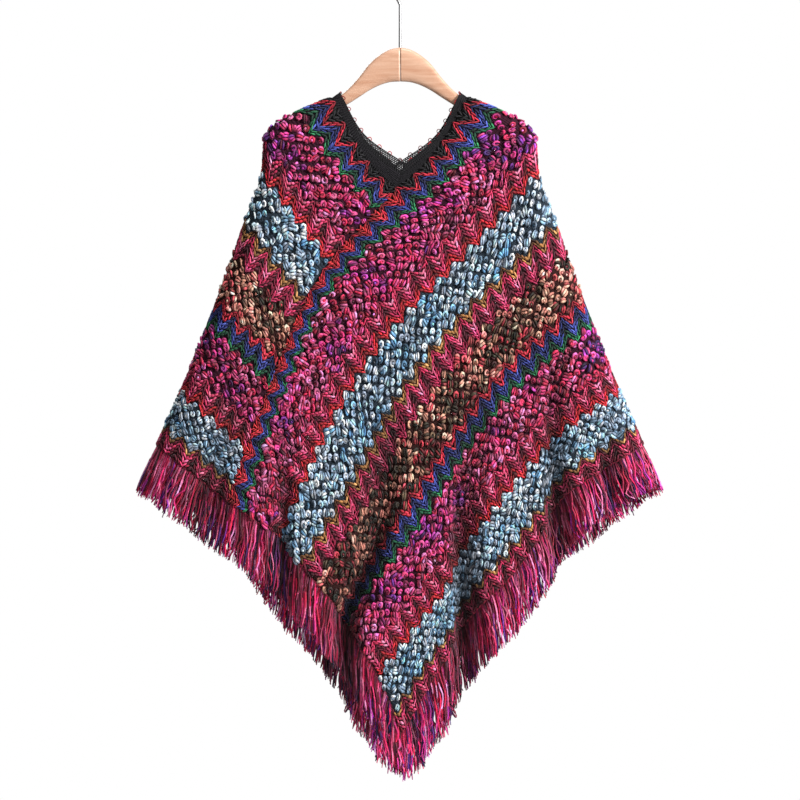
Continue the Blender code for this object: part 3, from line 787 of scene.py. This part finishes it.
def ring_bobble():
    """A loop of yarn that rises out of the cloth, nearly closed, with an end of the yarn across it."""
    turn = np.radians(np.linspace(-160.0, 150.0, 7))
    rise = 2.2 * np.sin(np.linspace(0.12, 0.86, 7) * math.pi) - 0.5
    loop = np.column_stack([BOBBLE_RADIUS * np.cos(turn), 0.95 * BOBBLE_RADIUS * np.sin(turn), rise])
    taper = BOBBLE_YARN * (0.74 + 0.30 * np.sin(np.linspace(0.1, 0.95, 7) * math.pi))
    across = np.array([(-3.9, -2.2, -0.8), (-0.4, -0.2, 1.4), (2.8, 1.8, -1.2)])
    return [(loop, taper), (across, np.array([1.2, 1.8, 1.0]))]


def puff_bobble():
    """Three loops of yarn side by side that swell out of the cloth and meet at both ends."""
    arch = np.linspace(-1.0, 1.0, 5)
    strands = []
    for place, lift in ((-1.0, 0.0), (0.0, 0.9), (1.0, 0.2)):
        bow = place * BOBBLE_BOW * (1.0 - 0.44 * arch ** 2)
        rise = (2.4 + lift) * (1 - arch ** 2) - 1.6 + lift * 0.3
        line = np.column_stack([BOBBLE_PUFF * arch, bow, rise])
        strands.append((line, BOBBLE_YARN * (1.0 - 0.45 * arch ** 4)))
    return strands


def bobble_mesh(strands):
    """A bobble's points and faces, with each point's strand, how far it is along that, and its ring."""
    parts, owner, along = [], [], []
    for number, (line, radius) in enumerate(strands):
        ups = np.tile(np.array([0.0, 0.0, 1.0]), (1, len(line), 1))
        parts.append(tubes(line[None] * MM, radius[None] * MM, ups))
        owner += [number] * len(line) * TUBE_SIDES
        along += list(np.repeat(np.linspace(0.0, 1.0, len(line)), TUBE_SIDES))
    points, faces = joined(parts)
    return points, faces, np.array(owner), np.array(along), np.arange(len(points)) // TUBE_SIDES


def bobble_band(fabric, band, rng):
    """Places, axes, sizes and tones of one band's bobbles, of those that lie on the panel."""
    _, start, end, _, yarns = band
    spots = np.arange(-COLUMNS_A_TOOTH, (TEETH + 1) * COLUMNS_A_TOOTH) / COLUMNS_A_TOOTH
    pitch = (end - start) / len(yarns)
    rows = start + (np.arange(len(yarns)) + 0.5) * pitch
    row, spot = np.meshgrid(rows, spots, indexing="ij")
    shape = row.shape
    row = row + rng.normal(0.0, BOBBLE_STRAY, shape)
    tooth = spot + rng.normal(0.0, BOBBLE_STRAY / TOOTH, shape)
    inside, along, point, forward, down, out = knitted_place(fabric, row, tooth, band)
    step = fabric.at(row * MM / PANEL_WIDTH, (along + 1 / COLUMNS_A_TOOTH) / TEETH)[0]
    step = np.linalg.norm(step - fabric.at(row * MM / PANEL_WIDTH, along / TEETH)[0], axis=-1)
    step = np.sqrt(step * pitch * MM)
    forward, upward = rotated(forward, -down, rng.normal(0.6, 0.9, shape))
    forward, raised = rotated(forward, out, rng.normal(0.0, BOBBLE_TILT, shape))
    upward, raised = rotated(upward, raised, rng.normal(0.0, BOBBLE_TILT, shape))
    places = (point + out * (WALL / 2 + BOBBLE_LIFT * MM)).reshape(-1, 3)
    axes = np.stack([forward, upward, raised], axis=-2).reshape(-1, 3, 3)
    size = rng.uniform(0.88, 1.12, shape) * np.clip(step / BOBBLE_STEP, 0.7, 1.2)
    sizes = size.reshape(-1, 1) * np.array([[1.0, 1.0, BOBBLE_FLATNESS]])
    patch = drift(rng, *shape, (1.6, 5.0)).ravel()
    tone = 0.6 * patch[:, None] + 0.4 * rng.random((row.size, 3))
    tone = dyed(yarns[0], tone) * rng.choice(SHADES, (row.size, 3, 1), p=SHADE_SHARES)
    # painted shade: the bobbles' tones are darkened in the valleys of the folds
    tones = tone * painted_fold_shade(point).reshape(-1, 1, 1)
    return [part[inside.ravel()] for part in (places, axes, sizes, tones)]


def gathered(parts):
    """Lists of arrays, a list from each band or row, as one array of each kind."""
    return [np.concatenate(kind) for kind in zip(*parts)]


def bobbles(name, fabric, finish, rng):
    """Every bobble of the knit, in rows that follow the ripple, of two kinds mixed at random."""
    places, axes, sizes, tones = gathered([bobble_band(fabric, band, rng)
                                           for band in BANDS if band[0] == "bobbles"])
    rings = rng.random(len(places)) < RING_SHARE
    parts, tints = [], []
    for chosen, strands_of in ((rings, ring_bobble()), (~rings, puff_bobble())):
        shape, faces, owner, along, ring = bobble_mesh(strands_of)
        parts.append(scattered(shape, faces, places[chosen], axes[chosen], sizes[chosen]))
        # painted shade: each strand is darker towards its ends, where it goes into the cloth, and lighter at
        # the top of its loop; the marls carry this shade
        painted_base_shade = 0.3 + 0.9 * np.sin(np.clip(along, 0.06, 0.94) * math.pi)
        marl = rng.choice(MARLS, (chosen.sum(), ring[-1] + 1))[:, ring] * painted_base_shade
        tints.append((tones[chosen][:, owner] * marl[..., None]).reshape(-1, 3))
    points, faces = joined(parts)
    return add_mesh(name, points, faces, [finish], np.concatenate(tints))


def stitch_shape():
    """A plump stitch, pointed at both ends."""
    ring = np.array([(0.0, 1.0), (1.0, 0.0), (0.0, -1.0), (-1.0, 0.0)]) / 2
    points = [(-0.5, 0.0, 0.0)]
    for x in (-0.24, 0.24):
        points += [(x, y, z) for y, z in ring]
    points.append((0.5, 0.0, 0.0))
    side = np.arange(4)
    after = (side + 1) % 4
    start = np.column_stack([np.zeros(4, int), 1 + side, 1 + after])
    middle = np.column_stack([1 + side, 5 + side, 5 + after, 1 + after])
    end = np.column_stack([5 + side, np.full(4, 9), 5 + after])
    return np.array(points), [middle, np.concatenate([start, end])]


def stitch_row(fabric, band, number, tooth, rng):
    """Places, axes, sizes, colours and teeth of one row's stitches, of those that lie on the panel."""
    _, start, end, _, yarns = band
    count, half = len(tooth), 0.49 / STITCHES_A_TOOTH
    pitch = (end - start) / len(yarns)
    row = start + (number + 0.5) * pitch + rng.normal(0.0, 0.45, count)
    inside, along, point, _, _, out = knitted_place(fabric, row, tooth, band)
    before, after = (knitted_place(fabric, row, tooth + step, band)[2] for step in (-half, half))
    upper, lower = (knitted_place(fabric, row + step, tooth, band)[2] for step in (-pitch / 2, pitch / 2))
    forward = unit(after - before)
    length = np.linalg.norm(after - before, axis=1) * STITCH_OVERLAP
    aside = np.cross(out, forward)
    room = np.abs(np.einsum("ni,ni->n", lower - upper, aside))
    slant = np.radians(STITCH_SLANT) * (1 if number % 2 else -1) + rng.normal(0.0, 0.16, count)
    forward, aside = rotated(forward, aside, slant)
    places = point + out * (WALL / 2 + rng.uniform(0.2, 1.0, (count, 1)) * MM)
    axes = np.stack([forward, aside, np.cross(forward, aside)], axis=1)
    width = np.clip(room * STITCH_WIDTH, 1.6 * MM, 4.6 * MM) * rng.uniform(0.9, 1.12, count)
    height = STITCH_HEIGHT * MM * rng.uniform(0.9, 1.15, count)
    tone = 0.6 * np.clip(ripple(tooth) * 1.2, 0.0, 1.0) + 0.4 * rng.random(count)
    colour = dyed(yarns[number], tone)
    if start < 0:
        colour = np.where((along > NECK_PART * TEETH)[:, None], dyed("black", tone), colour)
    # painted shade: the random shade of each stitch is darkened in the valleys of the folds
    own = rng.choice(STITCH_SHADES, count, p=SHADE_SHARES) * painted_fold_shade(point)
    parts = (places, axes, np.column_stack([length, width, height]), colour * own[:, None], tooth)
    return [part[inside] for part in parts]


def stitches(name, fabric, finish, rng):
    """Every stitch of the zigzag bands, slanted one way in one row and the other way in the next."""
    shape, faces = stitch_shape()
    tooth = (np.arange(-STITCHES_A_TOOTH, (TEETH + 1) * STITCHES_A_TOOTH) + 0.5) / STITCHES_A_TOOTH
    places, axes, sizes, colours, teeth = gathered([
        stitch_row(fabric, band, number, tooth, rng)
        for band in BANDS if band[0] == "stitches" for number in range(len(band[4]))])
    points, faces = scattered(shape, faces, places, axes, sizes)
    # painted shade: each stitch is darker at its pointed ends, where it goes into the cloth, one half a
    # little darker than the other, and darker towards the tips of the teeth, in the hollow there
    shade = np.array([0.5] + [0.95] * 4 + [1.05] * 4 + [0.6])
    lift = ripple(teeth[:, None] + shape[None, :, 0] * STITCH_OVERLAP / STITCHES_A_TOOTH)
    shade = shade * (0.6 + 0.4 * np.clip(lift / 0.16, 0.0, 1.0))
    tint = (colours[:, None] * shade[..., None]).reshape(-1, 3)
    return add_mesh(name, points, faces, [finish], tint)


def slab(fabric, levels, wall, rows, columns):
    """A closed sheet of cloth between two shares of a fabric's width: its points, faces and places."""
    row, column = np.meshgrid(np.linspace(*levels, rows), np.linspace(0.0, 1.0, columns), indexing="ij")
    point, _, _, out = fabric.at(row, column)
    number = np.arange(row.size).reshape(row.shape)
    outer = np.stack([number[:-1, :-1], number[1:, :-1], number[1:, 1:], number[:-1, 1:]], axis=-1)
    outer = outer.reshape(-1, 4)
    inner = outer[:, ::-1] + row.size
    rim = np.concatenate([number[0, :-1], number[:-1, -1], number[-1, :0:-1], number[:0:-1, 0]])
    after = np.roll(rim, -1)
    edge = np.column_stack([rim, after, after + row.size, rim + row.size])
    points = np.concatenate([(point + way * wall / 2).reshape(-1, 3) for way in (out, -out)])
    return points, [outer, inner, edge], row, column


def ground(name, fabric, finishes):
    """The cloth itself, a closed sheet as thick as the chunky knit behind its raised yarn."""
    points, faces, rows, columns = slab(fabric, (0.0, 1.0), WALL, GROUND_ROWS, GROUND_COLUMNS)
    tooth = columns * TEETH
    place = np.column_stack([(tooth + shear(rows * PANEL_WIDTH, tooth)).ravel(), rows.ravel() * PANEL_WIDTH])
    slots = np.repeat([0, 1, 0], [len(part) for part in faces])
    return add_mesh(name, points, faces, finishes, coordinates=np.concatenate([place, place]), slots=slots)


# ---- edging and fringe
def crochet_band(name, fabric, finish):
    """The close part of the crochet edging, by the knit."""
    points, faces, _, _ = slab(fabric, (LACE_OPEN, BAND_END), LACE_WALL, BAND_ROWS, BAND_COLUMNS)
    return add_mesh(name, points, faces, [finish])


def lace(name, fabric, finish, rng):
    """The rest of the edging: an open net by the neck, rows on its close part and small picots."""
    stops = np.linspace(0.0, LACE_OPEN + 0.02, LACE_ROWS)
    start = np.linspace(-LACE_REACH, 1 + LACE_REACH, LACE_CELLS)[:, None]
    parts = []
    for way in (1.0, -1.0):
        along = np.clip(start + way * np.linspace(-0.5, 0.5, LACE_ROWS)[None] * LACE_REACH, 0.0, 1.0)
        point, _, _, out = fabric.at(np.broadcast_to(stops, along.shape), along)
        weave = np.where(np.arange(LACE_ROWS) % 2, 0.35, -0.35) * MM * way
        parts.append(tubes(point + out * weave[None, :, None], LACE_YARN, out))
    share = np.linspace(0.0, 1.0, LACE_STATIONS)
    wave = np.where(np.arange(LACE_STATIONS) % 2, 0.5, -0.5)[:, None] * MM
    for level in (0.0, *np.linspace(LACE_OPEN, 0.97, LACE_CLOSE_ROWS)):
        point, _, _, out = fabric.at(np.full(share.shape, level), share)
        parts.append(tubes((point + out * wave)[None], LACE_CORD, out[None]))
    middle = (np.arange(PICOTS) + 0.5) / PICOTS
    point, along, across, out = fabric.at(np.zeros(PICOTS), middle)
    turn = np.linspace(-0.3, 1.3, PICOT_STATIONS) * math.pi
    loops = (point[:, None] + along[:, None] * (np.cos(turn) * PICOT_RADIUS)[:, None]
             - across[:, None] * ((np.sin(turn) + 0.25) * PICOT_RADIUS)[:, None])
    black = sum(len(part[0]) for part in parts)
    parts.append(tubes(loops, PICOT_YARN, np.repeat(out[:, None], PICOT_STATIONS, axis=1)))
    points, faces = joined(parts)
    tint = np.concatenate([dyed("black", rng.random(black)),
                           dyed("brick", rng.random(PICOTS)).repeat(PICOT_STATIONS * TUBE_SIDES,
                                                                          axis=0) * 0.7])
    return add_mesh(name, points, faces, [finish], tint)


def strand_layer(layer, rim, outward, normal, rng):
    """Paths, radii, upward directions and tints of one layer's strands."""
    run = lengths(rim)
    count = round(run[-1] / STRAND_PITCH)
    drop = np.linspace(0.0, 1.0, STRAND_STATIONS)
    lock = (np.arange(count) + layer * LOCK // STRAND_LAYERS) // LOCK
    stop = (np.arange(count) + 0.5 + rng.normal(0.0, 0.12, count)) / count * run[-1]
    middle = np.array([stop[lock == number].mean() for number in range(lock[-1] + 1)])[lock]
    root_stop = np.clip(middle + (stop - middle) * 0.45, 0.0, run[-1])
    root, away, face = (between(part, run, root_stop) for part in (rim, outward, normal))
    away, face = unit(away), unit(face)
    side = unit(np.cross(face, away))
    own = rng.normal(0.0, 1.0, (lock[-1] + 1, 4))[lock]
    sway = own[:, :1] * 0.050 + rng.normal(0.0, 0.030, (count, 1))
    rise = np.clip(own[:, 1:2], -1.5, 1.5) * 0.018
    hang = unit(lean(root) + side * sway + face * rise)
    length = FRINGE_LENGTH * (1 + own[:, 2] * 0.022 + rng.normal(0.0, 0.022, count) - shortened(root))
    over = HANG_START * (1 - np.exp(-drop[None] * 9)) - 1.5 * MM
    fan = (stop - root_stop)[:, None] * np.minimum(drop * 2.2, 1.0)[None]
    bow = own[:, 3:] * 3.0 * MM * np.sin(drop * math.pi)[None]
    phase, waves = rng.uniform(0.0, 6.3, (count, 1)), rng.uniform(5.0, 15.0, (count, 1))
    curl = rng.gamma(2.0, 0.8, (count, 1)).clip(0.3, 5.0) * MM * np.sin(drop[None] * waves + phase)
    curl = curl * np.minimum(drop * 3, 1.0)[None]
    level = (layer - (STRAND_LAYERS - 1) / 2) * LAYER_STEP + rng.normal(0.0, 0.4, count) * MM
    proud = level[:, None] * np.minimum(0.35 + drop * 2, 1.0)[None] + np.clip(curl, -MM, MM) * 0.8
    path = (root[:, None] + away[:, None] * over[..., None]
            + hang[:, None] * (length[:, None] * drop[None])[..., None]
            + side[:, None] * (fan + bow + curl)[..., None] + face[:, None] * proud[..., None])
    radii = STRAND_RADIUS * rng.uniform(0.8, 1.2, (count, 1)) * (1.0 - 0.45 * drop[None] ** 8)
    return path, radii, np.repeat(face[:, None], STRAND_STATIONS, axis=1), strand_tint(root, drop, rng)


def shortened(root):
    """By what share the strands are shorter, from where their roots are."""
    aside = np.clip(np.abs(root[:, 0]) / FRINGE_REACH, 0.0, 1.0)
    shorter = np.where((root[:, 1] < 0) & (root[:, 0] > 0), *FRINGE_SHORTER) * aside ** 1.5
    return shorter + TIP_SHORTER * np.clip((TIP_HEIGHT - root[:, 2]) / TIP_FADE, 0.0, 1.0)


def strand_tint(root, drop, rng):
    count = len(root)
    tone = 0.35 * drift(rng, 1, count, (1, 14))[0] + 0.65 * rng.random(count)
    tone = tone[:, None] + rng.normal(0.0, 0.14, (count, 1)) * drop[None] * 2
    # painted shade: each strand is darker by its root, under the hem, than towards its end
    shade = (0.45 + 0.65 * drop ** 0.6)[None, :, None]
    # painted shade: each strand is darkened by the fold valley at its root
    own = rng.choice(STRAND_SHADES, (count, 1, 1), p=SHADE_SHARES) * painted_fold_shade(root)[:, None, None]
    return dyed("fringe", tone) * shade * own


def strands(name, rim, outward, normal, finish, rng):
    """Yarn strands that leave a rim of the cloth in locks, bend over it and hang down."""
    layers = [strand_layer(layer, rim, outward, normal, rng) for layer in range(STRAND_LAYERS)]
    paths, radii, ups, tints = gathered(layers)
    points, faces = tubes(paths, radii, ups, STRAND_SIDES)
    tint = np.repeat(tints.reshape(-1, 3), STRAND_SIDES, axis=0)
    return add_mesh(name, points, faces, [finish], tint)


def hem_cord(name, fabric, finish, rng):
    """The crocheted cord that finishes the short end and the hem."""
    share = np.linspace(0.0, 1.0, CORD_STATIONS)
    wobble = 0.5 * MM * np.sin(np.arange(CORD_STATIONS) * 1.9)
    parts, tints = [], []
    for across, along in ((np.ones(CORD_STATIONS), share), (share, np.zeros(CORD_STATIONS))):
        point, _, _, out = fabric.at(across, along)
        parts.append(tubes((point + out * wobble[:, None])[None], HEM_CORD, out[None], CORD_SIDES))
        tints.append(np.repeat(dyed("wine", rng.random(CORD_STATIONS)), CORD_SIDES, axis=0))
    points, faces = joined(parts)
    return add_mesh(name, points, faces, [finish], np.concatenate(tints))


# ---- hanger
def arm(name, side, finish):
    """One arm of the hanger: rounded rectangles along its length, closing at the tip."""
    knots = column(ARM, ARM_COLUMNS, "x")
    x = np.linspace(0.0, knots[-1], ARM_STATIONS)
    top = smooth(knots, column(ARM, ARM_COLUMNS, "top"), x)
    under = smooth(knots, column(ARM, ARM_COLUMNS, "underside"), x)
    x[0] = JOINT_GAP
    tip = np.array(ARM_TIP) * MM
    close = np.sin(np.linspace(0.0, 1.0, 9)[1:-1] * math.pi / 2)
    x = np.concatenate([x, knots[-1] + (tip[0] - knots[-1]) * close])
    fade = np.sqrt(1 - close ** 2)
    middle, half = (top[-1] + under[-1]) / 2, (top[-1] - under[-1]) / 2
    drop = middle + (tip[1] - middle) * close
    top, under = np.concatenate([top, drop + half * fade]), np.concatenate([under, drop - half * fade])
    thick = ARM_THICKNESS / 2 * np.concatenate([np.ones(ARM_STATIONS), fade])
    turn = 2 * math.pi * (np.arange(ARM_SIDES) + 0.5) / ARM_SIDES
    power = 2 / ARM_SQUARENESS
    wide = np.sign(np.cos(turn)) * np.abs(np.cos(turn)) ** power
    tall = np.sign(np.sin(turn)) * np.abs(np.sin(turn)) ** power
    points = np.stack([np.broadcast_to(side * x[:, None], (len(x), ARM_SIDES)),
                       -side * thick[:, None] * wide[None],
                       ((top + under) / 2)[:, None] + ((top - under) / 2)[:, None] * tall[None]], axis=-1)
    number = np.arange(points.shape[0] * ARM_SIDES).reshape(-1, ARM_SIDES)
    after = np.roll(number, -1, axis=1)
    quads = np.stack([number[:-1], after[:-1], after[1:], number[1:]], axis=-1).reshape(-1, 4)
    return add_mesh(name, points.reshape(-1, 3), [quads, number[:1, ::-1], number[-1:]], [finish])


def hook(name, finish):
    middle = HOOK_RADIUS + WIRE_RADIUS
    turn = np.radians(np.linspace(HOOK_START, HOOK_END, 72))
    round_part = np.column_stack([middle * np.cos(turn), middle * np.sin(turn) - HOOK_RADIUS])
    shank = np.array([(0.0, SHANK_FOOT), (0.0, (SHANK_FOOT + SHANK_TOP) / 2), (0.0, SHANK_TOP)])
    guide = np.vstack([shank, round_part[[0, 3]]])
    run = lengths(guide)
    bend = smooth(run, guide, np.linspace(run[2], run[3], 12))[1:-1]
    line = np.vstack([shank, bend, round_part])
    line = np.column_stack([line[:, 0], np.zeros(len(line)), line[:, 1]])
    line = spaced(line, HOOK_STATIONS)
    ups = np.tile(np.array([0.0, 1.0, 0.0]), (1, len(line), 1))
    radii = np.full((1, len(line)), WIRE_RADIUS)
    radii[0, -1] *= 0.6
    points, faces = tubes(line[None], radii, ups, WIRE_SIDES)
    return add_mesh(name, points, faces, [finish])


# ---- camera and light
def camera():
    made = bpy.data.objects.new("camera", bpy.data.cameras.new("camera"))
    made.data.sensor_width = SENSOR
    made.data.lens = SENSOR * VIEW_DISTANCE / VIEW_WIDTH
    made.data.clip_end = 50.0
    made.location = (VIEW_CENTRE[0], VIEW_CENTRE[1] - VIEW_DISTANCE, VIEW_CENTRE[2])
    made.rotation_euler = (math.pi / 2, 0.0, 0.0)
    bpy.context.scene.collection.objects.link(made)
    bpy.context.scene.camera = made


def area_light(name, place, size, power):
    lamp = bpy.data.lights.new(name, "AREA")
    lamp.size = size
    lamp.energy = power
    made = bpy.data.objects.new(name, lamp)
    made.location = place
    away = np.array(place) - np.array(VIEW_CENTRE)
    flat = math.hypot(away[0], away[1])
    made.rotation_euler = (math.atan2(flat, away[2]), 0.0, math.atan2(away[1], away[0]) + math.pi / 2)
    bpy.context.scene.collection.objects.link(made)


def stage():
    """A white surround that also lights the part, and a pale floor below it."""
    world = bpy.data.worlds.new("studio")
    bpy.context.scene.world = world
    world.use_nodes = True
    tree = world.node_tree
    tree.nodes.clear()
    seen = add_node(tree, "ShaderNodeBackground", {"Color": (1.0, 1.0, 1.0, 1.0), "Strength": 1.0})
    glow = add_node(tree, "ShaderNodeBackground", {"Color": (1.0, 1.0, 1.0, 1.0), "Strength": 0.14})
    direct = add_node(tree, "ShaderNodeLightPath").outputs["Is Camera Ray"]
    mixed = add_node(tree, "ShaderNodeMixShader", {0: direct, 1: glow.outputs[0], 2: seen.outputs[0]})
    add_node(tree, "ShaderNodeOutputWorld", {"Surface": mixed.outputs[0]})
    turn = np.linspace(0.0, 2 * math.pi, RIM_OF_FLOOR, endpoint=False)
    rim = np.column_stack([np.cos(turn) * FLOOR_RADIUS, np.sin(turn) * FLOOR_RADIUS,
                           np.full(RIM_OF_FLOOR, FLOOR_HEIGHT)])
    pale, _, shader = new_material("pale_floor")
    shader.inputs["Base Color"].default_value = (0.86, 0.86, 0.86, 1.0)
    shader.inputs["Roughness"].default_value = 0.8
    floor = add_mesh("floor", rim, [np.arange(RIM_OF_FLOOR)[None]], [pale])
    for light in LIGHTS:
        area_light(*light)
    bpy.context.scene.view_settings.view_transform = "Standard"


def left_of(piece, name):
    """The left panel's piece: the right one's mesh turned half a turn about +Z."""
    mesh = piece.data.copy()
    mesh.name = name
    places = np.empty(len(mesh.vertices) * 3, dtype=np.float32)
    mesh.vertices.foreach_get("co", places)
    mesh.vertices.foreach_set("co", turned(places.reshape(-1, 3)).astype(np.float32).ravel())
    mesh.update()
    made = bpy.data.objects.new(name, mesh)
    bpy.context.scene.collection.objects.link(made)
    return made


def both(name, make, *rest):
    """A piece of the right panel, and the same on the left: their names are the name and the side."""
    made = make(f"{name}_right", *rest)
    return {"right": made, "left": left_of(made, f"{name}_left")}


def knitted_pieces(panel):
    wool = yarn_material("wool", 1400.0, 420.0, 0.62, 0.06)
    # knit_ground, on the outer face, is darkened to 0.07: dark yarn and painted shade between the raised
    # yarn; knit_reverse, on the inner face, to 0.4
    grounds = [ground_material("knit_ground", 0.07, 0.6), ground_material("knit_reverse", 0.4, 1.0)]
    return {"knit": both("knit", ground, panel, grounds),
            "bobbles": both("bobbles", bobbles, panel, wool, np.random.default_rng(11)),
            "zigzags": both("zigzags", stitches, panel, wool, np.random.default_rng(12)),
            "cord": both("hem_cord", hem_cord, panel, wool, np.random.default_rng(13))}


def edging_pieces():
    edging = edging_fabric()
    crochet = yarn_material("crochet", 2200.0, 500.0, 0.8, 0.0)
    return {"edging": both("edging", crochet_band, edging, crochet_material("close_crochet")),
            "lace": both("lace", lace, edging, crochet, np.random.default_rng(14))}


def fringe_pieces(panel):
    twisted = yarn_material("twisted_yarn", 1600.0, 300.0, 0.6, 0.03)
    share = np.linspace(0.0, 1.0, RIM_STATIONS)
    hem, _, across, out = panel.at(np.ones(RIM_STATIONS), share)
    end, along, _, face = panel.at(share, np.zeros(RIM_STATIONS))
    return {"hem": both("fringe_hem_yarn", strands, hem, across, out, twisted, np.random.default_rng(15)),
            "end": both("fringe_end_yarn", strands, end, -along, face, twisted, np.random.default_rng(16))}


def fasten(pieces, side):
    """Says what one side's pieces ride on and stand for."""
    own = {kind: pair[side] for kind, pair in pieces.items()}
    dressing = [own[kind] for kind in ("bobbles", "zigzags", "cord", "hem", "end")]
    for kind in ("knit", "edging", "lace", "arm"):
        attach(own[kind], "root")
    for piece in dressing:
        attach(piece, "root")
    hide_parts(f"panel_{side}")
    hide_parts(f"neck_edging_{side}")
    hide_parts(f"fringe_{side}_hem")
    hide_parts(f"fringe_{side}_end")
    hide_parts(f"hanger_arm_{side}")


def main():
    camera()
    stage()
    panel = panel_fabric()
    pieces = {**knitted_pieces(panel), **edging_pieces(), **fringe_pieces(panel)}
    beech = beech_material()
    pieces["arm"] = {"right": arm("arm_right", 1, beech), "left": arm("arm_left", -1, beech)}
    wire = hook("hook", steel_material())
    for side in ("right", "left"):
        fasten(pieces, side)
    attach(wire, "root")
    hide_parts("hanger_hook")


main()
